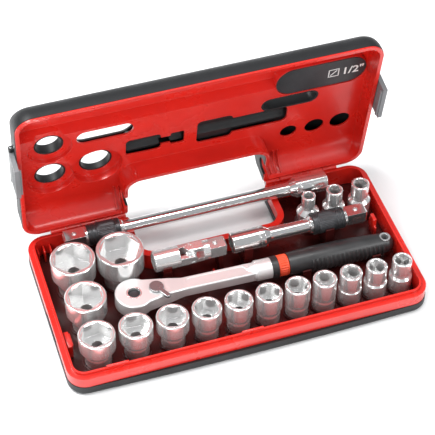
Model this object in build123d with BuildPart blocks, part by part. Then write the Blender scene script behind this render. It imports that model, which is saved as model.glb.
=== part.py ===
"""Socket wrench set, half-inch square drive, in a hinged two-shell case with its lid open.

X runs along the case, Y to the hinge, Z up. The origin is the middle of the case's underside.
The lid is drawn shut and then turned about the hinge to its open stop.
"""

import os
from math import cos, pi, radians, sin, sqrt

from build123d import *

os.makedirs("parts", exist_ok=True)

# ---------------------------------------------------------------- case sizes
case_length = 333.0
case_depth = 174.0
base_height = 21.5
lid_height = 33.0
shell_height = 10.5
corner_radius = 17.0
front_bow = 2.2
bottom_round = 4.0
shell_floor = 1.6
shell_wall = 2.0
liner_wall = 1.8
nest_gap = 0.2
lip_height = 3.2
lip_wall = 1.8
lip_gap = 0.9
rim_top = 2.4
rim_wall = 2.4
rim_inset = 0.4
rim_joint = 0.2
parting_gap = 0.3
lid_rounding = 44.0
lid_skirt = 3.0
lid_rear_radius = 24.0
lid_end_radius = 14.0
lid_rim_flange = 1.6
notch_width = 133.0
notch_depth = 49.0
notch_radius = 12.0
notch_mouth_radius = 4.0
notch_lip_relief = 10.0

# ---------------------------------------------------------------- hinge and latches
hinge_offset = 1.2
hinge_pin_radius = 1.25
hinge_pin_clearance = 0.05
knuckle_radius = 3.2
knuckle_length = 14.0
knuckle_gap = 0.4
knuckle_count = 5
hinge_centre = 105.0
lid_open_angle = 80.0
latch_width = 40.0
latch_thickness = 4.2
latch_below = 11.5
latch_pivot = 11.5
latch_pin_radius = 1.1
latch_pin_clearance = 0.06
pin_seat = 0.02
latch_ear = 4.5
latch_gap = 0.4
latch_centre = -15.0
latch_hook = 1.6
latch_hook_height = 2.4
latch_hook_lift = 0.6
latch_grooves = 4
latch_groove_pitch = 3.0
latch_groove_width = 1.3
latch_groove_depth = 0.6
latch_groove_inset = 5.0
latch_pocket_width = 34.0
latch_pocket_play = 1.6

# ---------------------------------------------------------------- lid lining
panel_depth = 19.0
panel_front = -31.0
panel_step = 4.0
recess_clearance = 2.0
recess_play = 0.7
window_share = 0.64
window_wall = 1.5
small_recess_clearance = 1.7
slot_width = 16.0
slot_length = 52.0
slot_left_x = -83.0
slot_left_y = -19.6
slot_back_shift = 6.0
slot_back_room = 12.0
slot_back_length = 8.0
slot_right_x = 91.0
slot_right_y = -8.2
slot_right_width = 14.0
pocket_y = 10.0
pocket_sink = 4.0
pocket_gap = 0.4
pocket_groove = 9.0
bar_slot_clearance = 1.2
label_length = 86.0
label_width = 33.0
label_thickness = 0.8
label_sink = 1.6
label_margin = 0.6
label_x = 119.0
label_y = -34.5
fin_count = 4
fin_pitch = 4.6
fin_thickness = 1.2
fin_height = 2.8

# ---------------------------------------------------------------- bed
bed_thickness = 1.7
ring_height = 2.6
ring_wall = 1.2
seat_clearance = 0.4
step_height = 5.0
saddle_width = 8.0
saddle_wall = 1.4
pocket_clearance = 1.2
head_rest_wall = 2.0
long_saddles = (-95.0, 106.0)
short_saddles = (25.0, 104.0)
uj_saddle = -52.0
uj_rest = 0.0
uj_rest_length = 4.0
grip_saddles = (70.0, 138.0)

# ---------------------------------------------------------------- sockets
drive_square = 12.7
drive_clearance = 0.15
drive_depth = 16.0
drive_end_diameter = 21.0
hex_clearance = 0.25
socket_length = 37.0
drive_end_share = 0.74
drive_end_height = 12.0
shoulder_height = 19.0
socket_edge = 0.8
mouth_flare = 1.0
hex_share = 0.42
bore_radius = 5.4
bore_step = 0.5
waist_depth = 0.6
socket_turn = 13.0
front_row_gap = 3.5
front_row_y = -56.5
front_row_end = 148.4
# hexagon size: outside diameter of the nut end
nut_end = {
    32: 43.0,
    30: 40.5,
    27: 37.0,
    24: 32.5,
    22: 30.2,
    21: 29.0,
    19: 26.5,
    18: 25.2,
    17: 24.0,
    16: 22.7,
    15: 21.5,
    14: 20.2,
    13: 19.0,
    12: 17.8,
    11: 16.7,
    10: 15.5,
    8: 13.0,
}
tall_length = {32: 44.0, 30: 42.5, 27: 41.0, 24: 38.0}
front_row = [12, 13, 14, 15, 16, 17, 18, 19, 21, 22, 24]
rear_row = [8, 10, 11]
rear_row_start = 94.0
rear_row_pitch = 25.7
rear_row_y = 39.2
big_right_x = -90.5
big_right_y = 26.9
big_left_x = -133.3
big_left_rear_y = 30.0
big_left_front_y = -15.1

# ---------------------------------------------------------------- ratchet
ratchet_x = -89.3
ratchet_y = -13.0
ratchet_axis_z = 24.2
ratchet_tilt = 2.0
head_radius = 17.2
head_thickness = 13.4
head_edge = 1.5
neck_width = 19.0
neck_length = 32.0
shank_width = 14.5
shank_height = 10.0
shank_panel_depth = 0.7
ratchet_reach = 248.0
ferrule_start = 113.0
ferrule_length = 15.0
ferrule_radius = 9.6
ring_length = 6.0
ring_thickness = 5.2
collar_length = 9.8
collar_thickness = 5.0
joint_gap = 0.2
grip_radius = 11.6
grip_waist = 10.4
grip_end_radius = 9.0
tang_radius = 5.0
tang_gap = 0.1
hang_hole_radius = 3.4
hang_ring_wall = 1.8
hang_hole_inset = 8.5
gear_radius = 9.6
gear_bore = 5.6
gear_bore_depth = 7.0
gear_teeth = 36
gear_tooth = 0.9
gear_clearance = 0.08
gear_flange = 11.6
gear_flange_thickness = 2.0
gear_boss = 7.0
head_roof = 2.8
square_length = 15.0
lever_distance = 20.5
lever_radius = 6.6
lever_thickness = 2.4
lever_handle = 14.0
lever_angle = -60.0
lever_post_radius = 2.4
lever_clearance = 0.06
lever_lift = 0.15
selector_swing = 18.0
pawl_gap = 0.35
pawl_radius = 4.6
pawl_reach = 8.4
pawl_half_width = 4.8
chamber_half_width = 7.8

# ---------------------------------------------------------------- bars
bar_axis_z = 29.0
bar_radius = 6.4
female_radius = 10.0
female_length = 31.0
female_groove = 0.5
sleeve_radius = 10.2
sleeve_length = 31.0
sleeve_travel = 3.0
sleeve_clearance = 0.06
sleeve_guide = 10.0
square_reach = 20.0
shoulder_length = 2.0
shoulder_radius = 9.0
neck_radius = 8.2
neck_reach = 56.5
flare_length = 6.0
spring_outer = 9.0
spring_wall = 0.6
spring_gap = 0.15
square_chamfer = 1.2
long_length = 255.0
long_left = -133.2
long_y = 67.5
short_length = 131.0
short_left = 11.5
short_y = 18.0
ball_radius = 2.2
ball_rise = 0.9
ball_pocket = 3.9

# ---------------------------------------------------------------- universal joint
uj_left = -62.5
uj_length = 68.5
uj_pivot = 35.0
uj_radius = 10.0
uj_block_side = 9.4
uj_side_gap = 0.15
uj_ear_thickness = 4.3
uj_crotch = 11.0
uj_body_length = 6.5
uj_pin_radius = 2.4
uj_pin_clearance = 0.05

# ---------------------------------------------------------------- derived places
half_length = case_length / 2
half_depth = case_depth / 2
seat = shell_floor + bed_thickness
lid_floor = base_height + parting_gap
lid_top = lid_floor + lid_height
double_wall = shell_wall + nest_gap + liner_wall
lip_outer = double_wall + lip_gap
lip_inner = lip_outer + lip_wall
notch_front = half_depth - notch_depth
hinge_y = half_depth + hinge_offset
hinge_z = base_height + parting_gap / 2
hinge_axis = Axis((0, hinge_y, hinge_z), (1, 0, 0))
latch_y = latch_centre
latch_face = half_length + latch_gap
latch_pin_z = lid_floor + latch_pivot
latch_pin_x = latch_face + latch_thickness / 2


def socket_height(size):
    return tall_length.get(size, socket_length)


def socket_base(size):
    """Diameter of a socket's drive end."""
    return max(drive_end_diameter, drive_end_share * nut_end[size])


def socket_footprint(size):
    return max(nut_end[size], socket_base(size))


def socket_places():
    """Centre and seat height of every socket, by hexagon size."""
    places = {}
    x = front_row_end
    for index, size in enumerate(front_row):
        if index:
            last = front_row[index - 1]
            x -= (socket_footprint(last) + socket_footprint(size)) / 2 + front_row_gap
        places[size] = (x, front_row_y, seat)
    for index, size in enumerate(rear_row):
        places[size] = (rear_row_start + index * rear_row_pitch, rear_row_y, seat + step_height)
    places[32] = (big_right_x, big_right_y, seat)
    places[30] = (big_left_x, big_left_rear_y, seat)
    places[27] = (big_left_x, big_left_front_y, seat)
    return places


places = socket_places()


def finish(name, built):
    built.part.label = name
    export_step(built.part, f"parts/{name}.step")


# ---------------------------------------------------------------- case outlines and blocks
def case_outline(plane, inset, bow=0.0):
    """Plan of the case with the hand notch, moved inwards by inset."""
    notch_half = notch_width / 2 + inset
    reach = notch_depth + inset + 40
    with BuildSketch(plane) as outline:
        RectangleRounded(case_length - 2 * inset, case_depth - 2 * inset, corner_radius - inset)
        if bow:
            start = half_length - corner_radius
            edge = half_depth - inset
            with BuildLine():
                ThreePointArc((-start, -edge), (0, -edge - bow), (start, -edge))
                Line((start, -edge), (-start, -edge))
            make_face()
        with Locations((0, notch_front - inset + reach / 2)):
            RectangleRounded(2 * notch_half, reach, notch_radius + inset, mode=Mode.SUBTRACT)
        mouth = outline.vertices().filter_by_position(Axis.X, -notch_half - 0.01, notch_half + 0.01)
        mouth = mouth.sort_by(Axis.Y)[-2:]
        fillet(mouth, notch_mouth_radius)
    return outline.sketch


def ring_between(height, outer_inset, inner_inset, thickness, bow=0.0):
    """A wall that follows the case's plan between two insets."""
    with BuildPart(mode=Mode.PRIVATE) as ring:
        with BuildSketch() as plan:
            add(case_outline(Plane.XY, outer_inset, bow))
            add(case_outline(Plane.XY, inner_inset), mode=Mode.SUBTRACT)
        extrude(plan.sketch.moved(Location((0, 0, height))), amount=thickness)
    return ring.part


def side_profile(inset, lining=None):
    """Section of the lid across the case, moved inwards by inset; lining is its wall when it has a panel."""
    front = -half_depth + inset
    rear = half_depth - inset
    top = lid_top - inset
    spring = lid_floor + lid_skirt
    with BuildSketch(Plane.YZ) as section:
        with BuildLine():
            Line((front, lid_floor), (front, spring))
            rise = top - spring
            run = lid_rounding - inset
            EllipticalCenterArc((front + run, spring), run, rise, start_angle=90, arc_size=90)
            radius = lid_rear_radius - inset
            if lining is None:
                foot = (rear, lid_floor)
                Line((front + run, top), (rear - radius, top))
                RadiusArc((rear - radius, top), (rear, top - radius), radius)
                Line((rear, top - radius), foot)
            else:
                panel = lid_floor + panel_depth + lining
                step_start = panel_front - panel_step + lining
                step_end = panel_front + lining
                Line((front + run, top), (step_start, top))
                Line((step_start, top), (step_end, panel))
                Line((step_end, panel), (rear - radius, panel))
                drop = min(radius, panel - lid_floor)
                foot = (rear - radius + sqrt(radius**2 - (radius - drop) ** 2), lid_floor)
                middle = (rear - radius + radius * sin(pi / 5), panel - radius + radius * cos(pi / 5))
                ThreePointArc((rear - radius, panel), middle, (foot[0], panel - drop))
                if panel - drop > lid_floor:
                    Line((foot[0], panel - drop), foot)
            Line(foot, (front, lid_floor))
        make_face()
    return section.sketch


def end_profile(inset):
    """Section of the lid along the case, moved inwards by inset."""
    side = half_length - inset
    top = lid_top - inset
    radius = lid_end_radius - inset
    with BuildSketch(Plane.XZ) as section:
        with BuildLine():
            Line((-side, lid_floor), (-side, top - radius))
            RadiusArc((-side, top - radius), (-side + radius, top), radius)
            Line((-side + radius, top), (side - radius, top))
            RadiusArc((side - radius, top), (side, top - radius), radius)
            Line((side, top - radius), (side, lid_floor))
            Line((side, lid_floor), (-side, lid_floor))
        make_face()
    return section.sketch


def lid_block(inset, lining=None):
    """Rounded solid of the shut lid, moved inwards by inset."""
    with BuildPart(mode=Mode.PRIVATE) as block:
        with BuildSketch(Plane.XY.offset(lid_floor)):
            add(case_outline(Plane.XY, inset))
        extrude(amount=lid_height + 1)
        extrude(side_profile(inset, lining), amount=case_length, both=True, mode=Mode.INTERSECT)
        extrude(end_profile(inset), amount=case_depth, both=True, mode=Mode.INTERSECT)
    return block.part


# ---------------------------------------------------------------- base shell
with BuildPart() as base_shell:
    with BuildSketch() as pan_plan:
        add(case_outline(Plane.XY, 0, front_bow))
    extrude(amount=shell_height)
    fillet(base_shell.faces().sort_by(Axis.Z)[0].edges(), bottom_round)
    with BuildSketch(Plane.XY.offset(shell_floor)) as pan_hollow:
        add(case_outline(Plane.XY, shell_wall))
    extrude(amount=shell_height, mode=Mode.SUBTRACT)
finish("base_shell", base_shell)

# ---------------------------------------------------------------- base tray
with BuildPart() as base_tray:
    outer_foot = shell_height + rim_joint
    add(ring_between(outer_foot, rim_inset, rim_inset + rim_wall, base_height - outer_foot))
    add(ring_between(base_height - rim_top, rim_inset, lip_inner, rim_top))
    inner_foot = seat + nest_gap
    add(ring_between(inner_foot, lip_outer, lip_inner, base_height + lip_height - inner_foot))
    # the lip stops along the notch, where the bars are lifted past it
    relief = notch_width + 2 * notch_lip_relief
    with BuildSketch(Plane.XY.offset(base_height)) as lip_relief:
        with Locations((0, notch_front + notch_depth / 2)):
            Rectangle(relief, notch_depth + 2 * lip_inner + 1)
    extrude(amount=lip_height, mode=Mode.SUBTRACT)
    # pockets in the rim that the two latches hook into
    pocket_low = outer_foot - 0.1
    for side in (-1, 1):
        with BuildSketch(Plane.XY.offset(pocket_low)) as catch:
            with Locations((side * (half_length - rim_inset - rim_wall / 2), latch_y)):
                Rectangle(rim_wall + 0.2, latch_pocket_width + latch_pocket_play)
        extrude(amount=latch_hook_lift + latch_hook_height + latch_pocket_play, mode=Mode.SUBTRACT)
    # gussets between the tall inner wall and the bed along the front
    for x in (-85, -23, 34, 110):
        with BuildSketch(Plane.YZ.offset(x)) as gusset:
            foot = -half_depth + lip_inner
            with BuildLine():
                Polyline(
                    (foot - 0.5, inner_foot),
                    (foot + 4.5, inner_foot),
                    (foot, base_height + lip_height),
                    (foot - 0.5, base_height + lip_height),
                    (foot - 0.5, inner_foot),
                )
            make_face()
        extrude(amount=1.6, both=True)
    # fixed half of the two hinges
    knuckle_pitch = knuckle_length + knuckle_gap
    for side in (-1, 1):
        for index in range(0, knuckle_count, 2):
            start = side * hinge_centre + (index - knuckle_count / 2) * knuckle_pitch
            with BuildSketch(Plane.YZ.offset(start)) as knuckle:
                with Locations((hinge_y, hinge_z)):
                    Circle(knuckle_radius)
                with Locations((half_depth - rim_inset - rim_wall / 2, hinge_z - knuckle_radius)):
                    Rectangle(rim_wall, 2 * knuckle_radius - parting_gap)
                with Locations((hinge_y - knuckle_radius / 2, hinge_z - knuckle_radius / 2 - 1.6)):
                    Rectangle(knuckle_radius, knuckle_radius)
            extrude(amount=knuckle_length)
        for index in range(1, knuckle_count, 2):
            start = side * hinge_centre + (index - knuckle_count / 2) * knuckle_pitch
            with BuildSketch(Plane.YZ.offset(start - knuckle_gap)) as knuckle_room:
                with Locations((hinge_y, hinge_z)):
                    Circle(knuckle_radius + knuckle_gap)
            extrude(amount=knuckle_length + 2 * knuckle_gap, mode=Mode.SUBTRACT)
        start = side * hinge_centre - (knuckle_count / 2 + 1) * knuckle_pitch
        with BuildSketch(Plane.YZ.offset(start)) as pin_hole:
            with Locations((hinge_y, hinge_z)):
                Circle(hinge_pin_radius + hinge_pin_clearance)
        extrude(amount=(knuckle_count + 2) * knuckle_pitch, mode=Mode.SUBTRACT)
finish("base_tray", base_tray)

# ---------------------------------------------------------------- hinge pins
with BuildPart() as hinge_pins:
    pin_length = knuckle_count * knuckle_pitch - knuckle_gap
    for side in (-1, 1):
        with BuildSketch(Plane.YZ.offset(side * hinge_centre - pin_length / 2 - knuckle_gap / 2)) as pin:
            with Locations((hinge_y, hinge_z)):
                Circle(hinge_pin_radius)
        extrude(amount=pin_length)
finish("hinge_pins", hinge_pins)


# ---------------------------------------------------------------- bed
def tube(plane, outer, inner, height):
    with BuildPart(mode=Mode.PRIVATE) as wall:
        with BuildSketch(plane):
            Circle(outer)
            if inner:
                Circle(inner, mode=Mode.SUBTRACT)
        extrude(amount=height)
    return wall.part


def saddle(x, y, axis_z, radius):
    """Cradle for a round bar lying along X, open upwards."""
    with BuildPart(mode=Mode.PRIVATE) as cradle:
        with BuildSketch(Plane.YZ.offset(x)):
            with Locations((y, (seat + axis_z) / 2)):
                Rectangle(2 * (radius + seat_clearance + saddle_wall), axis_z - seat)
            with Locations((y, axis_z)):
                Circle(radius + seat_clearance, mode=Mode.SUBTRACT)
        extrude(amount=saddle_width / 2, both=True)
    return cradle.part


half_head = head_thickness / 2
tilt_slope = sin(radians(ratchet_tilt))
square_sweep = drive_square / sqrt(2) + pocket_clearance + (half_head + square_length) * tilt_slope
rest_radius = square_sweep + head_rest_wall
rest_top = ratchet_axis_z - half_head - joint_gap - rest_radius * tilt_slope

with BuildPart() as socket_bed:
    with BuildSketch(Plane.XY.offset(shell_floor)):
        add(case_outline(Plane.XY, lip_inner + nest_gap))
    extrude(amount=bed_thickness)
    for size, (x, y, foot) in places.items():
        inner = socket_base(size) / 2 + seat_clearance
        if foot > seat:
            add(tube(Plane((x, y, seat)), inner + ring_wall, 0, foot - seat))
        add(tube(Plane((x, y, foot)), inner + ring_wall, inner, ring_height))
    for x in long_saddles:
        add(saddle(x, long_y, bar_axis_z, sleeve_radius))
    for x in short_saddles:
        add(saddle(x, short_y, bar_axis_z, sleeve_radius))
    add(saddle(uj_saddle, short_y, bar_axis_z, uj_radius))
    for x in grip_saddles:
        add(saddle(x, ratchet_y, ratchet_axis_z - (x - ratchet_x) * tilt_slope, grip_radius))
    with BuildSketch(Plane.XY.offset(seat)):
        with Locations((uj_rest, short_y)):
            Rectangle(uj_rest_length, drive_square)
    extrude(amount=bar_axis_z - drive_square / 2 - seat_clearance - seat)
    rest_plane = Plane((ratchet_x, ratchet_y, seat))
    add(tube(rest_plane, rest_radius, square_sweep, rest_top - seat))
    with BuildSketch(Plane((ratchet_x, ratchet_y, shell_floor))):
        Circle(square_sweep)
    extrude(amount=bed_thickness, mode=Mode.SUBTRACT)
    # everything stays inside the tray's inner wall
    with BuildSketch(Plane.XY.offset(shell_floor)):
        add(case_outline(Plane.XY, lip_inner + nest_gap))
    extrude(amount=base_height + lid_height, mode=Mode.INTERSECT)
finish("socket_bed", socket_bed)


# ---------------------------------------------------------------- lid, drawn shut
panel_z = lid_floor + panel_depth
label_plane_z = panel_z + label_sink
collar_foot = panel_z + 0.2
tall_sockets = (27, 30, 32)
hinge_cut_height = 6.0
bar_slot_radius = bar_radius + bar_slot_clearance
bar_slot_reach = notch_width / 2 + lip_inner


def box_between(low, high):
    """Plain block between two corners."""
    with BuildPart(mode=Mode.PRIVATE) as block:
        with BuildSketch(Plane.XY.offset(low[2])):
            with Locations(((low[0] + high[0]) / 2, (low[1] + high[1]) / 2)):
                Rectangle(high[0] - low[0], high[1] - low[1])
        extrude(amount=high[2] - low[2])
    return block.part


def slot_block(x, y, length, width, low, high):
    """Upright block with round ends."""
    with BuildPart(mode=Mode.PRIVATE) as block:
        with BuildSketch(Plane.XY.offset(low)):
            with Locations((x, y)):
                SlotOverall(length, width)
        extrude(amount=high - low)
    return block.part


def joint_recess(growth, low, high):
    """Block in the outline of the recess over the universal joint."""
    with BuildPart(mode=Mode.PRIVATE) as block:
        with BuildSketch(Plane.XY.offset(low)):
            with Locations((-47.5, pocket_y)):
                RectangleRounded(33 + 2 * growth, 22 + 2 * growth, 4)
            with Locations((-27, pocket_y)):
                Rectangle(16, 10 + 2 * growth)
            with Locations((-15.5, pocket_y)):
                RectangleRounded(13 + 2 * growth, 17 + 2 * growth, 2)
        extrude(amount=high - low)
    return block.part


def bar_recess(growth, low, high):
    """Block in the outline of the recess over the short extension."""
    with BuildPart(mode=Mode.PRIVATE) as block:
        with BuildSketch(Plane.XY.offset(low)):
            with Locations((20, pocket_y)):
                RectangleRounded(34 + 2 * growth, 32 + 2 * growth, 5)
            with Locations((61, pocket_y)):
                RectangleRounded(58 + 2 * growth, 22 + 2 * growth, 6)
        extrude(amount=high - low)
    return block.part


def bar_slot_block():
    """Room for the carrying bar through the side walls of the lid's notch."""
    with BuildPart(mode=Mode.PRIVATE) as block:
        with BuildSketch(Plane.YZ):
            with Locations((long_y, bar_axis_z)):
                Circle(bar_slot_radius)
            with Locations((long_y, (lid_floor - 1 + bar_axis_z) / 2)):
                Rectangle(2 * bar_slot_radius, bar_axis_z - lid_floor + 1)
        extrude(amount=bar_slot_reach, both=True)
    return block.part


def rod(x, y, z, radius, length):
    """Round bar along X, starting at x."""
    with BuildPart(mode=Mode.PRIVATE) as bar:
        with BuildSketch(Plane.YZ.offset(x)):
            with Locations((y, z)):
                Circle(radius)
        extrude(amount=length)
    return bar.part


label_pad_length = label_length + 2 * label_margin
label_pad_width = label_width + 2 * label_margin

with BuildPart() as shut_cover:
    add(lid_block(0))
    add(lid_block(shell_wall), mode=Mode.SUBTRACT)
    # window collars down to the lining
    for size in tall_sockets:
        x, y, foot = places[size]
        window = window_share * nut_end[size] / 2
        collar_low = foot + socket_height(size) + recess_play + 0.3
        add(tube(Plane((x, y, collar_low)), window + window_wall, 0, lid_top - 0.5 - collar_low))
        add(tube(Plane((x, y, collar_low)), window, 0, lid_height), mode=Mode.SUBTRACT)
    slot_long = slot_length + 2 * window_wall
    slot_wide = slot_right_width + 2 * window_wall
    add(slot_block(slot_right_x, slot_right_y, slot_long, slot_wide, collar_foot, lid_top - 0.5))
    # black floors of the two tool recesses
    for recess in (joint_recess, bar_recess):
        add(recess(-pocket_gap, panel_z + pocket_sink, lid_top - 0.5))
    groove_z = panel_z + pocket_sink - pocket_groove / 2
    add(rod(-bar_slot_reach, pocket_y, groove_z, pocket_groove, 2.4 * bar_slot_reach), mode=Mode.SUBTRACT)
    through = slot_block(slot_right_x, slot_right_y, slot_length, slot_right_width, panel_z - 1, lid_top + 1)
    add(through, mode=Mode.SUBTRACT)
    # the left slot opens wider at the back
    back_y = slot_left_y + slot_back_shift
    back_long = slot_length + slot_back_length
    back_wide = slot_width + slot_back_room
    back = slot_block(slot_left_x, back_y, back_long, back_wide, panel_z + liner_wall, lid_top + 1)
    add(back, mode=Mode.SUBTRACT)
    # room behind the label pad
    pad_back = label_plane_z + liner_wall + nest_gap
    pad_wide = label_pad_width + 2 * nest_gap
    add(
        slot_block(label_x, label_y, label_pad_length + 2 * nest_gap, pad_wide, panel_z - 1, pad_back),
        mode=Mode.SUBTRACT,
    )
    add(bar_slot_block(), mode=Mode.SUBTRACT)
    # the rim belongs to the lining
    rim_low = (-case_length, -case_depth, lid_floor - 1)
    rim_high = (case_length, case_depth, lid_floor + lid_rim_flange + 0.1)
    add(box_between(rim_low, rim_high), mode=Mode.SUBTRACT)
    # the rear wall makes room for the hinges
    span = knuckle_count * knuckle_pitch + knuckle_gap
    for side in (-1, 1):
        start = side * hinge_centre - span / 2 - knuckle_gap / 2
        cut_low = (start, half_depth - double_wall, lid_floor - 1)
        cut_high = (start + span, half_depth + 1, lid_floor + hinge_cut_height)
        add(box_between(cut_low, cut_high), mode=Mode.SUBTRACT)
    # ears that carry the latch pins
    for side in (-1, 1):
        for end in (-1, 1):
            ear_middle = latch_y + end * (latch_width / 2 + joint_gap + latch_ear / 2)
            with BuildSketch(Plane.XZ.offset(-ear_middle)):
                with Locations((side * (latch_pin_x + half_length) / 2, latch_pin_z)):
                    Rectangle(latch_pin_x - half_length + 1, latch_thickness)
                with Locations((side * latch_pin_x, latch_pin_z)):
                    Circle(latch_thickness / 2)
            extrude(amount=latch_ear / 2, both=True)
        with BuildSketch(Plane.XZ.offset(-latch_y)):
            with Locations((side * latch_pin_x, latch_pin_z)):
                Circle(latch_pin_radius + pin_seat)
        extrude(amount=latch_width / 2 + latch_ear + 1, both=True, mode=Mode.SUBTRACT)

with BuildPart() as shut_liner:
    add(lid_block(double_wall - liner_wall, liner_wall))
    # cups that hold the tall sockets down
    for size in tall_sockets:
        x, y, foot = places[size]
        cup_top = foot + socket_height(size) + recess_play + liner_wall
        cup = nut_end[size] / 2 + recess_clearance
        add(tube(Plane((x, y, panel_z)), cup + liner_wall, 0, cup_top - panel_z))
    pad_back = label_plane_z + liner_wall
    add(slot_block(label_x, label_y, label_pad_length, label_pad_width, panel_z, pad_back))
    add(lid_block(0), mode=Mode.INTERSECT)
    add(lid_block(double_wall - liner_wall), mode=Mode.INTERSECT)
    add(lid_block(double_wall, 0), mode=Mode.SUBTRACT)
    for size in tall_sockets:
        x, y, foot = places[size]
        cup_floor = foot + socket_height(size) + recess_play
        cup = nut_end[size] / 2 + recess_clearance
        add(tube(Plane((x, y, panel_z - 1)), cup, 0, cup_floor - panel_z + 1), mode=Mode.SUBTRACT)
        window = window_share * nut_end[size] / 2 + window_wall + nest_gap
        add(tube(Plane((x, y, panel_z)), window, 0, lid_height), mode=Mode.SUBTRACT)
    # the small sockets reach through the panel
    for size in rear_row:
        x, y, foot = places[size]
        hole = nut_end[size] / 2 + small_recess_clearance
        add(tube(Plane((x, y, panel_z - 1)), hole, 0, liner_wall + 2), mode=Mode.SUBTRACT)
    left_slot = slot_block(slot_left_x, slot_left_y, slot_length, slot_width, panel_z - 1, lid_top)
    add(left_slot, mode=Mode.SUBTRACT)
    slot_long = slot_length + 2 * (window_wall + nest_gap)
    slot_wide = slot_right_width + 2 * (window_wall + nest_gap)
    right_slot = slot_block(slot_right_x, slot_right_y, slot_long, slot_wide, panel_z - 1, lid_top)
    add(right_slot, mode=Mode.SUBTRACT)
    for recess in (joint_recess, bar_recess):
        add(recess(0, panel_z - 1, panel_z + 3), mode=Mode.SUBTRACT)
    # the label pad stands in the trough and is sunk in the panel
    with BuildPart(mode=Mode.PRIVATE) as label_pad:
        add(slot_block(label_x, label_y, label_pad_length, label_pad_width, label_plane_z, lid_top))
        inner_long = label_pad_length - 2 * liner_wall
        inner_wide = label_pad_width - 2 * liner_wall
        pad_back = label_plane_z + liner_wall
        add(slot_block(label_x, label_y, inner_long, inner_wide, pad_back, lid_top), mode=Mode.SUBTRACT)
        pad_low = (0, -half_depth, lid_floor)
        pad_high = (half_length, panel_front - panel_step / 2, lid_top)
        add(box_between(pad_low, pad_high), mode=Mode.INTERSECT)
        add(lid_block(double_wall - liner_wall), mode=Mode.INTERSECT)
    add(label_pad.part)
    sunk = slot_block(label_x, label_y, label_pad_length, label_pad_width, panel_z - 1, label_plane_z)
    add(sunk, mode=Mode.SUBTRACT)
    # rim, and the moving half of the hinges
    add(ring_between(lid_floor, rim_inset, double_wall, lid_rim_flange))
    flange_high = lid_floor + hinge_cut_height - 0.2
    for side in (-1, 1):
        start = side * hinge_centre - span / 2 - knuckle_gap / 2
        flange_low = (start + nest_gap, half_depth - double_wall + 0.5, lid_floor)
        add(box_between(flange_low, (start + span - nest_gap, half_depth, flange_high)))
        first = side * hinge_centre - knuckle_count / 2 * knuckle_pitch
        for index in range(1, knuckle_count, 2):
            add(rod(first + index * knuckle_pitch, hinge_y, hinge_z, knuckle_radius, knuckle_length))
        for index in range(0, knuckle_count, 2):
            room = first + index * knuckle_pitch - knuckle_gap
            room_length = knuckle_length + 2 * knuckle_gap
            room_radius = knuckle_radius + knuckle_gap
            add(rod(room, hinge_y, hinge_z, room_radius, room_length), mode=Mode.SUBTRACT)
        pin_room = hinge_pin_radius + hinge_pin_clearance
        add(rod(first - knuckle_pitch, hinge_y, hinge_z, pin_room, 100), mode=Mode.SUBTRACT)
    # stiffening fins beside the notch
    fin_y = half_depth - lid_rear_radius
    fin_z = panel_z - lid_rear_radius + double_wall
    fin_outer = lid_rear_radius - double_wall + 0.4
    fin_start = notch_width / 2 + double_wall + 1.0
    fin_foot = base_height + lip_height + recess_play
    for index in range(fin_count + fin_count // 2):
        side = 1 if index < fin_count else -1
        x = side * (fin_start + (index % fin_count) * fin_pitch)
        with BuildSketch(Plane.YZ.offset(x - fin_thickness / 2)):
            with Locations((fin_y, fin_z)):
                Circle(fin_outer)
                Circle(fin_outer - fin_height - 0.4, mode=Mode.SUBTRACT)
            with Locations((fin_y + fin_outer / 2 + 2, fin_foot + fin_outer / 2)):
                Rectangle(fin_outer, fin_outer, mode=Mode.INTERSECT)
        extrude(amount=fin_thickness)
    add(bar_slot_block(), mode=Mode.SUBTRACT)

with BuildPart() as shut_label:
    label_face = label_plane_z - label_thickness
    add(slot_block(label_x, label_y, label_length, label_width, label_face, label_plane_z))

with BuildPart() as shut_latch_pins:
    for side in (-1, 1):
        with BuildSketch(Plane.XZ.offset(-latch_y)):
            with Locations((side * latch_pin_x, latch_pin_z)):
                Circle(latch_pin_radius)
        extrude(amount=latch_width / 2 + joint_gap + latch_ear, both=True)


def shut_latch(side):
    """Latch lever at one end of the case, hooked into the rim."""
    low = lid_floor - latch_below
    hook_low = shell_height + rim_joint + latch_hook_lift
    with BuildPart(mode=Mode.PRIVATE) as lever:
        with BuildSketch(Plane.XZ.offset(-latch_y)):
            with Locations((side * latch_pin_x, (low + latch_pin_z) / 2)):
                Rectangle(latch_thickness, latch_pin_z - low)
            with Locations((side * latch_pin_x, latch_pin_z)):
                Circle(latch_thickness / 2)
        extrude(amount=latch_width / 2, both=True)
        with BuildSketch(Plane.XZ.offset(-latch_y)):
            with Locations((side * (latch_face - latch_hook / 2), hook_low + latch_hook_height / 2)):
                Rectangle(latch_hook + 0.6, latch_hook_height)
        extrude(amount=latch_pocket_width / 2, both=True)
        with BuildSketch(Plane.XZ.offset(-latch_y)):
            with Locations((side * latch_pin_x, latch_pin_z)):
                Circle(latch_pin_radius + latch_pin_clearance)
        extrude(amount=latch_width, both=True, mode=Mode.SUBTRACT)
        # finger grooves across the outer face
        with BuildSketch(Plane.XZ.offset(-latch_y)):
            for index in range(latch_grooves):
                height = low + latch_groove_pitch * (index + 1)
                with Locations((side * (latch_face + latch_thickness), height)):
                    Rectangle(2 * latch_groove_depth, latch_groove_width)
        extrude(amount=latch_width / 2 - latch_groove_inset, both=True, mode=Mode.SUBTRACT)
    return lever.part


with BuildPart() as lid_cover:
    add(shut_cover.part.rotate(hinge_axis, -lid_open_angle))
finish("lid_cover", lid_cover)

with BuildPart() as lid_liner:
    add(shut_liner.part.rotate(hinge_axis, -lid_open_angle))
finish("lid_liner", lid_liner)

with BuildPart() as lid_label:
    add(shut_label.part.rotate(hinge_axis, -lid_open_angle))
finish("lid_label", lid_label)

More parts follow.
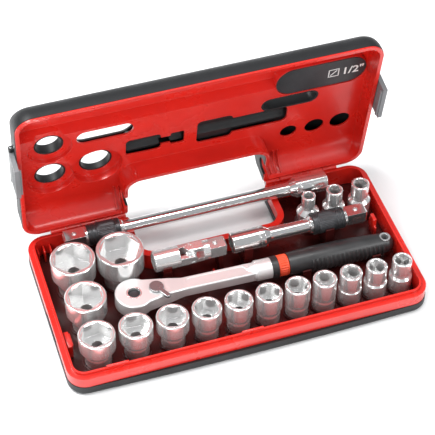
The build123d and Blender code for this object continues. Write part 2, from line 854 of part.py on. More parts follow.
with BuildPart() as latch_pins:
    add(shut_latch_pins.part.rotate(hinge_axis, -lid_open_angle))
finish("latch_pins", latch_pins)

with BuildPart() as latch_left:
    add(shut_latch(-1).rotate(hinge_axis, -lid_open_angle))
finish("latch_left", latch_left)

with BuildPart() as latch_right:
    add(shut_latch(1).rotate(hinge_axis, -lid_open_angle))
finish("latch_right", latch_right)


# ---------------------------------------------------------------- sockets
def regular_hole(flat_radius, sides, foot, depth):
    """Upright prism given by half its width across flats."""
    with BuildPart(mode=Mode.PRIVATE) as hole:
        with BuildSketch(Plane.XY.offset(foot)):
            RegularPolygon(flat_radius, sides, major_radius=False)
        extrude(amount=depth)
    return hole.part


def socket_body(size):
    """One hexagon socket standing on its drive end."""
    height = socket_height(size)
    nut = nut_end[size] / 2
    base = socket_base(size) / 2
    waist = min(nut, base) - waist_depth
    hex_flat = (size + hex_clearance) / 2
    hex_corner = hex_flat / cos(pi / 6)
    hex_depth = hex_share * height
    if nut < base:
        waist_low = drive_depth + 1
        waist_start = waist_low + (base - waist)
    else:
        waist_low = drive_end_height
        waist_start = waist_low + 2
    waist_end = max(waist_start + 1.5, shoulder_height - 3)
    shoulder = waist_end + 1.5 + (nut - waist) * 0.9
    with BuildPart(mode=Mode.PRIVATE) as body:
        with BuildSketch(Plane.XZ):
            with BuildLine():
                Polyline(
                    (0, 0),
                    (base - socket_edge, 0),
                    (base, socket_edge),
                    (base, waist_low),
                    (waist, waist_start),
                    (waist, waist_end),
                    (nut, shoulder),
                    (nut, height - socket_edge),
                    (nut - socket_edge, height),
                    (0, height),
                    (0, 0),
                )
            make_face()
        revolve(axis=Axis.Z)
        square_flat = drive_square / 2 + drive_clearance
        add(regular_hole(square_flat, 4, 0, drive_depth), mode=Mode.SUBTRACT)
        add(regular_hole(hex_flat, 6, height - hex_depth, hex_depth), mode=Mode.SUBTRACT)
        with BuildSketch(Plane.XY):
            Circle(min(bore_radius, hex_flat - bore_step))
        extrude(amount=height, mode=Mode.SUBTRACT)
        with BuildSketch(Plane.XZ):
            with BuildLine():
                Polyline(
                    (0, height + 0.1),
                    (hex_corner + 0.1, height + 0.1),
                    (hex_corner - mouth_flare, height - mouth_flare),
                    (0, height - mouth_flare),
                    (0, height + 0.1),
                )
            make_face()
        revolve(axis=Axis.Z, mode=Mode.SUBTRACT)
    return body.part


for order, (size, (x, y, foot)) in enumerate(places.items()):
    with BuildPart() as socket:
        add(socket_body(size).moved(Location((x, y, foot), (0, 0, socket_turn * order))))
    finish(f"socket_{size:02d}", socket)


# ---------------------------------------------------------------- ratchet, drawn about its head
ratchet_place = Location((ratchet_x, ratchet_y, ratchet_axis_z), (0, ratchet_tilt, 0))
tang_end = ratchet_reach - hang_hole_inset - hang_hole_radius - hang_ring_wall - 8
ring_start = ferrule_start + ferrule_length + joint_gap
collar_start = ring_start + ring_length + joint_gap
grip_start = collar_start + collar_length + joint_gap
hang_x = ratchet_reach - hang_hole_inset
gear_room = gear_radius + gear_tooth + 0.35
flange_recess = gear_flange_thickness + 0.1


def along(start, length, outer, inner):
    """Round sleeve along X about the X axis."""
    with BuildPart(mode=Mode.PRIVATE) as sleeve:
        with BuildSketch(Plane.YZ.offset(start)):
            Circle(outer)
            if inner:
                Circle(inner, mode=Mode.SUBTRACT)
        extrude(amount=length)
    return sleeve.part


def ratchet_frame():
    """Head, neck, shank, ferrule and the tang inside the grip."""
    with BuildPart(mode=Mode.PRIVATE) as body:
        with BuildSketch(Plane.XY.offset(-half_head)) as plan:
            Circle(head_radius)
            with BuildLine():
                Polyline(
                    (8, -neck_width / 2 - 4.5),
                    (neck_length - 2, -neck_width / 2),
                    (neck_length + 13, -shank_width / 2),
                    (ferrule_start, -shank_width / 2),
                    (ferrule_start, shank_width / 2),
                    (neck_length + 13, shank_width / 2),
                    (neck_length - 2, neck_width / 2),
                    (8, neck_width / 2 + 4.5),
                    (8, -neck_width / 2 - 4.5),
                )
            make_face()
            bends = plan.vertices().filter_by_position(Axis.X, neck_length - 3, neck_length + 14)
            fillet(bends, 12)
        extrude(amount=head_thickness)
        with BuildSketch(Plane.XZ) as side:
            with BuildLine():
                Polyline(
                    (-head_radius - 1, -half_head),
                    (neck_length, -half_head),
                    (neck_length + 14, -shank_height / 2),
                    (ferrule_start, -shank_height / 2),
                    (ferrule_start, shank_height / 2),
                    (neck_length + 14, shank_height / 2),
                    (neck_length, half_head),
                    (-head_radius - 1, half_head),
                    (-head_radius - 1, -half_head),
                )
            make_face()
            bends = side.vertices().filter_by_position(Axis.X, neck_length - 1, neck_length + 15)
            fillet(bends, 9)
        extrude(amount=head_radius + 1, both=True, mode=Mode.INTERSECT)
        rims = body.edges().filter_by_position(Axis.Z, half_head - 0.01, half_head + 0.01)
        chamfer(rims, head_edge * 0.6)
        # shallow panel along the top of the shank
        panel_long = ferrule_start - neck_length - 24
        panel_x = neck_length + 16 + panel_long / 2
        with BuildSketch(Plane.XY.offset(shank_height / 2 - shank_panel_depth)):
            with Locations((panel_x, 0)):
                SlotOverall(panel_long, shank_width - 4.5)
        extrude(amount=3, mode=Mode.SUBTRACT)
        # ferrule, its flare, and the tang
        with BuildSketch(Plane.XZ):
            with BuildLine():
                Polyline(
                    (ferrule_start - 8, 0),
                    (ferrule_start - 8, shank_height / 2),
                    (ferrule_start, ferrule_radius - 0.8),
                    (ferrule_start + 0.8, ferrule_radius),
                    (ferrule_start + ferrule_length, ferrule_radius),
                    (ferrule_start + ferrule_length, tang_radius),
                    (tang_end, tang_radius),
                    (tang_end, 0),
                    (ferrule_start - 8, 0),
                )
            make_face()
        revolve(axis=Axis.X)
        # room for the gear, the pawl and the lever's post
        rooms = (
            (-half_head, flange_recess, gear_flange + gear_clearance),
            (-half_head, head_thickness - head_roof, gear_room),
            (-half_head, head_thickness, gear_boss + gear_clearance),
        )
        for foot, depth, radius in rooms:
            with BuildSketch(Plane.XY.offset(foot)):
                Circle(radius)
            extrude(amount=depth, mode=Mode.SUBTRACT)
        chamber_low = -half_head + flange_recess + 0.5
        with BuildSketch(Plane.XY.offset(chamber_low)):
            with Locations((lever_distance / 2 + (pawl_radius + 0.8) / 2 + 2, 0)):
                Rectangle(lever_distance + pawl_radius + 0.8 - 4, 2 * chamber_half_width)
        extrude(amount=half_head - head_roof - chamber_low, mode=Mode.SUBTRACT)
        with BuildSketch(Plane.XY.offset(0)):
            with Locations((lever_distance, 0)):
                Circle(lever_post_radius + lever_clearance)
        extrude(amount=half_head + 1, mode=Mode.SUBTRACT)
    return body.part


def gear_solid():
    """Toothed drive gear with its flange, boss and square."""
    tooth_step = 2 * pi / gear_teeth
    with BuildPart(mode=Mode.PRIVATE) as gear:
        tips = gear_radius + gear_tooth
        points = []
        for index in range(gear_teeth):
            turn = index * tooth_step
            points.append((gear_radius * cos(turn), gear_radius * sin(turn)))
            points.append((tips * cos(turn + tooth_step / 2), tips * sin(turn + tooth_step / 2)))
        points.append(points[0])
        with BuildSketch(Plane.XY.offset(-half_head)):
            with BuildLine():
                Polyline(*points)
            make_face()
        extrude(amount=head_thickness - head_roof - 0.1)
        with BuildSketch(Plane.XY.offset(-half_head)):
            Circle(gear_flange)
        extrude(amount=gear_flange_thickness)
        with BuildSketch(Plane.XY.offset(-half_head)):
            Circle(gear_boss)
        extrude(amount=head_thickness)
        with BuildSketch(Plane.XY.offset(-half_head)):
            Rectangle(drive_square, drive_square)
        extrude(amount=-square_length)
        corners = gear.faces().sort_by(Axis.Z)[0].edges()
        chamfer(corners, square_chamfer)
        with BuildSketch(Plane.XY.offset(half_head - gear_bore_depth)):
            Circle(gear_bore)
        extrude(amount=gear_bore_depth, mode=Mode.SUBTRACT)
        with BuildSketch(Plane.XZ.offset(drive_square / 2 - ball_pocket)):
            with Locations((0, -half_head - square_length / 2)):
                Circle(ball_radius + 0.05)
        extrude(amount=4, mode=Mode.SUBTRACT)
    return gear.part


def lever_solid():
    """Selector lever on top of the head, with the post that turns the pawl."""
    with BuildPart(mode=Mode.PRIVATE) as lever:
        with BuildSketch(Plane.XY.offset(half_head + lever_lift)):
            with Locations((lever_distance, 0)):
                Circle(lever_radius)
            tip_x = lever_distance + lever_handle * cos(radians(lever_angle))
            tip_y = lever_handle * sin(radians(lever_angle))
            middle = ((lever_distance + tip_x) / 2, tip_y / 2)
            with Locations(Location((middle[0], middle[1], 0), (0, 0, lever_angle))):
                SlotOverall(lever_handle + 5, 5)
        extrude(amount=lever_thickness)
        tops = lever.faces().sort_by(Axis.Z)[-1].edges()
        chamfer(tops, 0.5)
        post_low = half_head - head_roof - 1.0
        with BuildSketch(Plane.XY.offset(post_low)):
            with Locations((lever_distance, 0)):
                Circle(lever_post_radius)
        extrude(amount=half_head + lever_lift - post_low)
    return lever.part


def pawl_solid():
    """Two-way pawl under the lever's post, clear of the teeth at either setting."""
    low = -half_head + flange_recess + 0.7
    high = half_head - head_roof - 1.0
    with BuildPart(mode=Mode.PRIVATE) as pawl:
        with BuildSketch(Plane.XY.offset(low)):
            with Locations((lever_distance, 0)):
                Circle(pawl_radius)
            with Locations((lever_distance - pawl_reach / 2, 0)):
                Rectangle(pawl_reach, 2 * pawl_half_width)
            for turn in (-selector_swing, 0, selector_swing):
                x = lever_distance - lever_distance * cos(radians(turn))
                y = -lever_distance * sin(radians(turn))
                with Locations((x, y)):
                    Circle(gear_radius + gear_tooth + pawl_gap, mode=Mode.SUBTRACT)
        extrude(amount=high - low)
    return pawl.part


def grip_solid():
    """Swelling grip with a round end and a hole to hang it by."""
    length = ratchet_reach - grip_start
    with BuildPart(mode=Mode.PRIVATE) as grip:
        with BuildSketch(Plane.XZ):
            with BuildLine():
                Line((grip_start, 0), (grip_start, grip_waist))
                middle = (grip_start + 0.45 * length, grip_radius)
                far = (ratchet_reach - 6, grip_end_radius)
                ThreePointArc((grip_start, grip_waist), middle, far)
                Line(far, (ratchet_reach - 2, grip_end_radius - 2.6))
                Line((ratchet_reach - 2, grip_end_radius - 2.6), (ratchet_reach, grip_end_radius - 6))
                Line((ratchet_reach, grip_end_radius - 6), (ratchet_reach, 0))
                Line((ratchet_reach, 0), (grip_start, 0))
            make_face()
        revolve(axis=Axis.X)
        with BuildSketch(Plane.XY):
            with Locations((hang_x, 0)):
                Circle(hang_hole_radius + hang_ring_wall + tang_gap)
        extrude(amount=grip_radius + 1, both=True, mode=Mode.SUBTRACT)
        bore_length = tang_end + 1.5 - grip_start
        add(along(grip_start - 1, bore_length, tang_radius + tang_gap, 0), mode=Mode.SUBTRACT)
    return grip.part


with BuildPart() as ratchet_body:
    add(ratchet_frame().moved(ratchet_place))
finish("ratchet_body", ratchet_body)

with BuildPart() as ratchet_ring:
    outer = tang_radius + ring_thickness
    add(along(ring_start, ring_length, outer, tang_radius + tang_gap).moved(ratchet_place))
finish("ratchet_ring", ratchet_ring)

with BuildPart() as ratchet_collar:
    outer = tang_radius + collar_thickness
    add(along(collar_start, collar_length, outer, tang_radius + tang_gap).moved(ratchet_place))
finish("ratchet_collar", ratchet_collar)

with BuildPart() as ratchet_grip:
    add(grip_solid().moved(ratchet_place))
finish("ratchet_grip", ratchet_grip)

with BuildPart() as hang_ring:
    eyelet_half = grip_end_radius - 0.6
    eyelet_outer = hang_hole_radius + hang_ring_wall
    eyelet = tube(Plane((hang_x, 0, -eyelet_half)), eyelet_outer, hang_hole_radius, 2 * eyelet_half)
    add(eyelet.moved(ratchet_place))
finish("hang_ring", hang_ring)

with BuildPart() as ratchet_gear:
    add(gear_solid().moved(ratchet_place))
finish("ratchet_gear", ratchet_gear)

with BuildPart() as ratchet_lever:
    add(lever_solid().moved(ratchet_place))
finish("ratchet_lever", ratchet_lever)

with BuildPart() as ratchet_pawl:
    add(pawl_solid().moved(ratchet_place))
finish("ratchet_pawl", ratchet_pawl)


def detent_ball(x, y, z):
    with BuildPart(mode=Mode.PRIVATE) as ball:
        with Locations((x, y, z)):
            Sphere(ball_radius)
    return ball.part


ball_depth = drive_square / 2 + ball_rise - ball_radius

with BuildPart() as ratchet_ball:
    add(detent_ball(0, -ball_depth, -half_head - square_length / 2).moved(ratchet_place))
finish("ratchet_ball", ratchet_ball)


# ---------------------------------------------------------------- extensions, drawn from the female end
def square_end(start, length, ball_x):
    """Drive square with its tip chamfered and the ball's pocket on top."""
    with BuildPart(mode=Mode.PRIVATE) as square:
        with BuildSketch(Plane.YZ.offset(start)):
            Rectangle(drive_square, drive_square)
        extrude(amount=length)
        chamfer(square.faces().sort_by(Axis.X)[-1].edges(), square_chamfer)
        with BuildSketch(Plane.XY.offset(drive_square / 2 - ball_pocket)):
            with Locations((ball_x, 0)):
                Circle(ball_radius + 0.05)
        extrude(amount=4, mode=Mode.SUBTRACT)
    return square.part


def female_hole(depth):
    with BuildPart(mode=Mode.PRIVATE) as hole:
        with BuildSketch(Plane.YZ.offset(-1)):
            side = drive_square + 2 * drive_clearance
            Rectangle(side, side)
        extrude(amount=depth + 1)
    return hole.part


def extension(length):
    """Extension bar with a female end, a neck for the locking sleeve and a drive square."""
    neck_start = length - neck_reach
    shoulder = length - square_reach - shoulder_length
    seat_ring = shoulder - joint_gap - sleeve_length
    with BuildPart(mode=Mode.PRIVATE) as bar:
        with BuildSketch(Plane.XZ):
            with BuildLine():
                Polyline(
                    (0, 0),
                    (0, female_radius - 0.8),
                    (0.8, female_radius),
                    (female_length - 5.2, female_radius),
                    (female_length - 5.2, female_radius - female_groove),
                    (female_length - 4, female_radius - female_groove),
                    (female_length - 4, female_radius),
                    (female_length, female_radius),
                    (female_length + flare_length, bar_radius),
                    (neck_start, bar_radius),
                    (neck_start + 1.2, neck_radius),
                    (seat_ring, neck_radius),
                    (seat_ring, spring_outer),
                    (seat_ring + 1, spring_outer),
                    (seat_ring + 1, neck_radius),
                    (shoulder, neck_radius),
                    (shoulder, shoulder_radius),
                    (length - square_reach, shoulder_radius),
                    (length - square_reach, 0),
                    (0, 0),
                )
            make_face()
        revolve(axis=Axis.X)
        add(square_end(length - square_reach, square_reach, length - square_reach / 2))
        add(female_hole(drive_depth + 1), mode=Mode.SUBTRACT)
    return bar.part


def locking_sleeve(length):
    """Ring pulled back against its spring to free a socket."""
    front = length - square_reach - shoulder_length - joint_gap
    with BuildPart(mode=Mode.PRIVATE) as sleeve:
        add(along(front - sleeve_length, sleeve_length, sleeve_radius, neck_radius + sleeve_clearance))
        pocket = spring_outer + 0.35
        pocket_length = sleeve_length - sleeve_guide + 1
        add(along(front - sleeve_length - 1, pocket_length, pocket, 0), mode=Mode.SUBTRACT)
        chamfer(sleeve.edges().filter_by(GeomType.CIRCLE).sort_by(SortBy.RADIUS)[-2:], 0.5)
    return sleeve.part


def sleeve_spring(length):
    """Spring at its pressed length, so it clears the sleeve over the whole travel."""
    front = length - square_reach - shoulder_length - joint_gap
    start = front - sleeve_length + 1 + joint_gap + spring_gap
    spring_length = sleeve_length - sleeve_guide - sleeve_travel - 1 - joint_gap - 2 * spring_gap
    return along(start, spring_length, spring_outer, spring_outer - spring_wall)


def bar_place(left, y, length, mirrored):
    """Where a bar lies: female end at the left, or turned end for end."""
    if mirrored:
        return Location((left + length, y, bar_axis_z), (0, 0, 180))
    return Location((left, y, bar_axis_z))


for kind, left, y, length, mirrored in (
    ("long", long_left, long_y, long_length, True),
    ("short", short_left, short_y, short_length, False),
):
    place = bar_place(left, y, length, mirrored)
    with BuildPart() as extension_bar:
        add(extension(length).moved(place))
    finish(f"{kind}_extension", extension_bar)
    with BuildPart() as extension_sleeve:
        add(locking_sleeve(length).moved(place))
    finish(f"{kind}_sleeve", extension_sleeve)
    with BuildPart() as extension_spring:
        add(sleeve_spring(length).moved(place))
    finish(f"{kind}_spring", extension_spring)
    with BuildPart() as extension_ball:
        add(detent_ball(length - square_reach / 2, 0, ball_depth).moved(place))
    finish(f"{kind}_ball", extension_ball)

# ---------------------------------------------------------------- universal joint
uj_place = Location((uj_left, short_y, bar_axis_z))
ear_low = uj_block_side / 2 + uj_side_gap
ear_middle = ear_low + uj_ear_thickness / 2
ear_half = uj_block_side / 2
body_end = uj_pivot - uj_crotch
fork_start = uj_pivot + uj_crotch
fork_body_end = fork_start + uj_body_length


def fork_ears(root_x, upright):
    """Pair of rounded ears reaching from root_x to the pivot."""
    reach = root_x - uj_pivot
    plane = Plane.XY if upright else Plane.XZ
    with BuildPart(mode=Mode.PRIVATE) as ears:
        for side in (-1, 1):
            with BuildSketch(plane.offset(side * ear_middle)):
                with Locations((uj_pivot, 0)):
                    Circle(ear_half)
                with Locations((uj_pivot + reach / 2, 0)):
                    Rectangle(abs(reach), 2 * ear_half)
            extrude(amount=uj_ear_thickness / 2, both=True)
        add(along(0, uj_length, uj_radius, 0), mode=Mode.INTERSECT)
    return ears.part


def cross_hole(plane, radius):
    with BuildPart(mode=Mode.PRIVATE) as hole:
        with BuildSketch(plane):
            with Locations((uj_pivot, 0)):
                Circle(radius)
        extrude(amount=uj_radius + 1, both=True)
    return hole.part


with BuildPart() as uj_socket_fork:
    with BuildPart(mode=Mode.PRIVATE) as socket_half:
        add(along(0, body_end, uj_radius, 0))
        chamfer(socket_half.faces().sort_by(Axis.X)[0].edges(), 0.8)
        add(fork_ears(body_end - 1, False))
        add(female_hole(drive_depth - 1), mode=Mode.SUBTRACT)
        add(cross_hole(Plane.XZ, uj_pin_radius + uj_pin_clearance), mode=Mode.SUBTRACT)
    add(socket_half.part.moved(uj_place))
finish("uj_socket_fork", uj_socket_fork)

with BuildPart() as uj_block:
    with BuildPart(mode=Mode.PRIVATE) as cube:
        with Locations((uj_pivot, 0, 0)):
            Box(uj_block_side, uj_block_side, uj_block_side)
        add(cross_hole(Plane.XZ, uj_pin_radius + pin_seat), mode=Mode.SUBTRACT)
        add(cross_hole(Plane.XY, uj_pin_radius + pin_seat), mode=Mode.SUBTRACT)
    add(cube.part.moved(uj_place))
finish("uj_block", uj_block)

with BuildPart() as uj_pins:
    with BuildPart(mode=Mode.PRIVATE) as cross:
        reach = ear_low + uj_ear_thickness - 0.2
        for plane in (Plane.XZ, Plane.XY):
            with BuildSketch(plane):
                with Locations((uj_pivot, 0)):
                    Circle(uj_pin_radius)
            extrude(amount=reach, both=True)
    add(cross.part.moved(uj_place))
finish("uj_pins", uj_pins)

with BuildPart() as uj_drive_fork:
    with BuildPart(mode=Mode.PRIVATE) as drive_half:
        add(along(fork_start, uj_body_length, shoulder_radius, 0))
        add(fork_ears(fork_start + 1, True))
        square_long = uj_length - fork_body_end + 1
        add(square_end(fork_body_end - 1, square_long, uj_length - square_reach / 2))
        add(cross_hole(Plane.XY, uj_pin_radius + uj_pin_clearance), mode=Mode.SUBTRACT)
    add(drive_half.part.moved(uj_place))
finish("uj_drive_fork", uj_drive_fork)

with BuildPart() as uj_ball:
    add(detent_ball(uj_length - square_reach / 2, 0, ball_depth).moved(uj_place))
finish("uj_ball", uj_ball)
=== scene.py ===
from math import cos, pi, radians, sin

import bmesh
import bpy
from mathutils import Matrix, Vector


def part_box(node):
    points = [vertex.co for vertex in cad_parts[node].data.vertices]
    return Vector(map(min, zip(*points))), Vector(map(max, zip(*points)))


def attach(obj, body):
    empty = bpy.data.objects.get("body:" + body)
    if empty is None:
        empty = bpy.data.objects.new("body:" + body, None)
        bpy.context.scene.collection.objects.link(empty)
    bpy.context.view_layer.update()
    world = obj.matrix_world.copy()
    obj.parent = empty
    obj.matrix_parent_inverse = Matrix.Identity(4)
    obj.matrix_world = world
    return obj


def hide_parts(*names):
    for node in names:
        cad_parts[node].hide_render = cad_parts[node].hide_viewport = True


# half-inch socket set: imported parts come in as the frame, the rest is finish and small detail
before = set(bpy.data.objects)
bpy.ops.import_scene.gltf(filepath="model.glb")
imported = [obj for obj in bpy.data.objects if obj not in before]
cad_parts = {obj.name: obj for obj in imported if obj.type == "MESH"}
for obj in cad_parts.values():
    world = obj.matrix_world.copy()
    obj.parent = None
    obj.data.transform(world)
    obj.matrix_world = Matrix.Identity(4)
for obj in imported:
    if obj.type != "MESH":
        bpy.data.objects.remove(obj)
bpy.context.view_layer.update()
print("frame loaded,", len(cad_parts), "nodes")

mm = 0.001

caseLook = {
    "hinge": (0.0, 88.2, 21.65),
    "openAngle": 80.0,
    "bedTop": 3.3,
    "lipTop": 24.7,
}

cameraSet = {
    "place": (-293.06, -878.10, 1076.53),
    "right": (0.95166, -0.30715, 0.00214),
    "up": (0.22304, 0.69580, 0.68273),
    "back": (-0.21119, -0.64924, 0.73067),
    "lens": 127.97,
    "sensor": 36.0,
}


def makeCamera(look):
    data = bpy.data.cameras.new("setCamera")
    data.lens = look["lens"]
    data.sensor_width = look["sensor"]
    data.clip_end = 20.0
    camera = bpy.data.objects.new("setCamera", data)
    bpy.context.scene.collection.objects.link(camera)
    turn = Matrix((look["right"], look["up"], look["back"])).transposed().to_4x4()
    camera.matrix_world = Matrix.Translation(Vector(look["place"]) * mm) @ turn
    bpy.context.scene.camera = camera


makeCamera(cameraSet)


# materials: every one starts from object coordinates and a principled shader
def startMaterial(name):
    material = bpy.data.materials.new(name)
    material.use_nodes = True
    tree = material.node_tree
    shader = tree.nodes["Principled BSDF"]
    coords = tree.nodes.new("ShaderNodeTexCoord").outputs["Object"]
    return material, tree, shader, coords


def addNoise(tree, coords, scale, detail=4.0, roughness=0.55):
    noise = tree.nodes.new("ShaderNodeTexNoise")
    noise.inputs["Scale"].default_value = scale
    noise.inputs["Detail"].default_value = detail
    noise.inputs["Roughness"].default_value = roughness
    tree.links.new(coords, noise.inputs["Vector"])
    return noise.outputs["Fac"]


def addStretch(tree, coords, scale):
    mapping = tree.nodes.new("ShaderNodeMapping")
    mapping.inputs["Scale"].default_value = scale
    tree.links.new(coords, mapping.inputs["Vector"])
    return mapping.outputs["Vector"]


def addRange(tree, value, low, high, fromLow=0.3, fromHigh=0.7):
    spread = tree.nodes.new("ShaderNodeMapRange")
    spread.inputs["From Min"].default_value = fromLow
    spread.inputs["From Max"].default_value = fromHigh
    spread.inputs["To Min"].default_value = low
    spread.inputs["To Max"].default_value = high
    tree.links.new(value, spread.inputs["Value"])
    return spread.outputs["Result"]


def addMix(tree, factor, first, second):
    mix = tree.nodes.new("ShaderNodeMix")
    mix.data_type = "RGBA"
    sockets = {s.identifier: s for s in mix.inputs}
    tree.links.new(factor, sockets["Factor_Float"])
    for key, value in (("A_Color", first), ("B_Color", second)):
        if isinstance(value, bpy.types.NodeSocket):
            tree.links.new(value, sockets[key])
        else:
            sockets[key].default_value = (*value, 1.0)
    return {s.identifier: s for s in mix.outputs}["Result_Color"]


def addMath(tree, kind, first, second):
    node = tree.nodes.new("ShaderNodeMath")
    node.operation = kind
    node.use_clamp = True
    for socket, value in zip(node.inputs, (first, second)):
        if isinstance(value, bpy.types.NodeSocket):
            tree.links.new(value, socket)
        else:
            socket.default_value = value
    return node.outputs["Value"]


# how far the rounded normal leans from the flat one: high on edges, zero on faces; it is the mask of the
# painted edge highlights
def addEdge(tree, radius, strength):
    rounded = tree.nodes.new("ShaderNodeBevel")
    rounded.samples = 4
    rounded.inputs["Radius"].default_value = radius
    geometry = tree.nodes.new("ShaderNodeNewGeometry")
    lean = tree.nodes.new("ShaderNodeVectorMath")
    lean.operation = "DOT_PRODUCT"
    tree.links.new(rounded.outputs["Normal"], lean.inputs[0])
    tree.links.new(geometry.outputs["Normal"], lean.inputs[1])
    edge = addRange(tree, lean.outputs["Value"], strength, 0.0, 0.80, 0.99)
    return rounded.outputs["Normal"], edge


def addBump(tree, height, strength, distance, normal=None):
    bump = tree.nodes.new("ShaderNodeBump")
    bump.inputs["Strength"].default_value = strength
    bump.inputs["Distance"].default_value = distance
    tree.links.new(height, bump.inputs["Height"])
    if normal is not None:
        tree.links.new(normal, bump.inputs["Normal"])
    return bump.outputs["Normal"]


# how the fine marks of each family are spread; the strengths are in the looks
plasticMarks = {
    "cloudDetail": 3.0,
    "grain": (6.0, 0.7),
    "scuffStretch": (140.0, 900.0, 420.0),
    "scuff": (5.0, 0.75),
    "scuffFrom": (0.60, 0.72),
    "scuffRough": 0.5,
    "bumpDepth": 0.0004,
}
metalMarks = {
    "smearDetail": 4.0,
    "hairs": (6.0, 0.8),
    "pits": (2600.0, 2.0),
    "edgeShine": 0.6,
    "smearFrom": (0.35, 0.75),
    "hairsFrom": (0.55, 0.75),
    "hairDepth": 0.0001,
    "pitDepth": 0.00005,
}
rubberMarks = {
    "edgeRadius": 0.0006,
    "paintedEdgeSheen": 0.5,
    "skin": (1500.0, 4.0, 0.7),
    "dust": (70.0, 5.0, 0.6),
    "edgeShine": 0.4,
    "skinStrength": 0.25,
    "skinDepth": 0.0002,
}


def mouldedPlastic(name, look):
    material, tree, shader, coords = startMaterial(name)
    rounded, edge = addEdge(tree, look["edgeRadius"], look["paintedEdgeSheen"])
    cloud = addNoise(tree, coords, look["cloudScale"], plasticMarks["cloudDetail"])
    grain = addNoise(tree, coords, look["grainScale"], *plasticMarks["grain"])
    stretched = addStretch(tree, coords, plasticMarks["scuffStretch"])
    scuffs = addNoise(tree, stretched, 1.0, *plasticMarks["scuff"])
    scuffMask = addRange(tree, scuffs, 0.0, look["scuff"], *plasticMarks["scuffFrom"])
    body = addMix(tree, addRange(tree, cloud, 0.0, 1.0), look["colour"], look["shade"])
    # painted edge highlight: edges are mixed toward the lighter colour, broken up by grain; the scuffs added
    # on top are real wear
    sheenAndWear = addMath(tree, "MULTIPLY", edge, addRange(tree, grain, 0.2, 1.0, 0.4, 0.6))
    sheenAndWear = addMath(tree, "ADD", sheenAndWear, scuffMask)
    tree.links.new(addMix(tree, sheenAndWear, body, look["sheenAndWearColour"]), shader.inputs["Base Color"])
    rough = addRange(tree, cloud, look["roughLow"], look["roughHigh"])
    rough = addMath(tree, "ADD", rough, addMath(tree, "MULTIPLY", scuffMask, plasticMarks["scuffRough"]))
    tree.links.new(rough, shader.inputs["Roughness"])
    normal = addBump(tree, grain, look["grainStrength"], plasticMarks["bumpDepth"], rounded)
    tree.links.new(normal, shader.inputs["Normal"])
    shader.inputs["Specular IOR Level"].default_value = look["specular"]
    shader.inputs["Coat Weight"].default_value = look["coat"]
    shader.inputs["Coat Roughness"].default_value = look["coatRough"]
    return material


def polishedMetal(name, look):
    material, tree, shader, coords = startMaterial(name)
    rounded, edge = addEdge(tree, look["edgeRadius"], 1.0)
    smear = addNoise(tree, coords, look["smearScale"], metalMarks["smearDetail"])
    hairs = addNoise(tree, addStretch(tree, coords, look["hairStretch"]), 1.0, *metalMarks["hairs"])
    pits = addNoise(tree, coords, *metalMarks["pits"])
    tone = addMix(tree, addRange(tree, smear, 0.0, 1.0), look["colour"], look["shade"])
    # painted edge highlight: edges are mixed toward the brighter edge colour
    sheenAndWear = addMath(tree, "MULTIPLY", edge, metalMarks["edgeShine"])
    tree.links.new(addMix(tree, sheenAndWear, tone, look["edgeHighlightColour"]), shader.inputs["Base Color"])
    shader.inputs["Metallic"].default_value = look["metallic"]
    rough = addRange(tree, smear, look["roughLow"], look["roughHigh"], *metalMarks["smearFrom"])
    hairRough = addRange(tree, hairs, 0.0, look["hairRough"], *metalMarks["hairsFrom"])
    rough = addMath(tree, "ADD", rough, hairRough)
    tree.links.new(rough, shader.inputs["Roughness"])
    normal = addBump(tree, hairs, look["hairBump"], metalMarks["hairDepth"], rounded)
    normal = addBump(tree, pits, look["pitBump"], metalMarks["pitDepth"], normal)
    tree.links.new(normal, shader.inputs["Normal"])
    return material


def softRubber(name, look):
    material, tree, shader, coords = startMaterial(name)
    rounded, edge = addEdge(tree, rubberMarks["edgeRadius"], rubberMarks["paintedEdgeSheen"])
    skin = addNoise(tree, coords, *rubberMarks["skin"])
    dust = addNoise(tree, coords, *rubberMarks["dust"])
    tone = addMix(tree, addRange(tree, dust, 0.0, 1.0), look["colour"], look["dusty"])
    # painted edge highlight: rubber edges are mixed toward the lighter grey
    sheenAndWear = addMath(tree, "MULTIPLY", edge, rubberMarks["edgeShine"])
    tree.links.new(addMix(tree, sheenAndWear, tone, look["sheenAndWear"]), shader.inputs["Base Color"])
    tree.links.new(addRange(tree, dust, look["roughLow"], look["roughHigh"]), shader.inputs["Roughness"])
    normal = addBump(tree, skin, rubberMarks["skinStrength"], rubberMarks["skinDepth"], rounded)
    tree.links.new(normal, shader.inputs["Normal"])
    shader.inputs["Specular IOR Level"].default_value = look["specular"]
    return material


redLook = {
    "colour": (0.66, 0.018, 0.010),
    "shade": (0.56, 0.013, 0.008),
    "sheenAndWearColour": (0.88, 0.16, 0.11),
    "edgeRadius": 0.0008,
    "paintedEdgeSheen": 0.22,
    "cloudScale": 26.0,
    "grainScale": 2200.0,
    "grainStrength": 0.10,
    "scuff": 0.10,
    "roughLow": 0.24,
    "roughHigh": 0.36,
    "specular": 0.5,
    "coat": 0.35,
    "coatRough": 0.12,
}
blackLook = {
    "colour": (0.016, 0.0165, 0.018),
    "shade": (0.011, 0.0115, 0.012),
    "sheenAndWearColour": (0.10, 0.10, 0.104),
    "edgeRadius": 0.0009,
    "paintedEdgeSheen": 0.35,
    "cloudScale": 30.0,
    "grainScale": 1300.0,
    "grainStrength": 0.35,
    "scuff": 0.16,
    "roughLow": 0.38,
    "roughHigh": 0.50,
    "specular": 0.3,
    "coat": 0.0,
    "coatRough": 0.3,
}
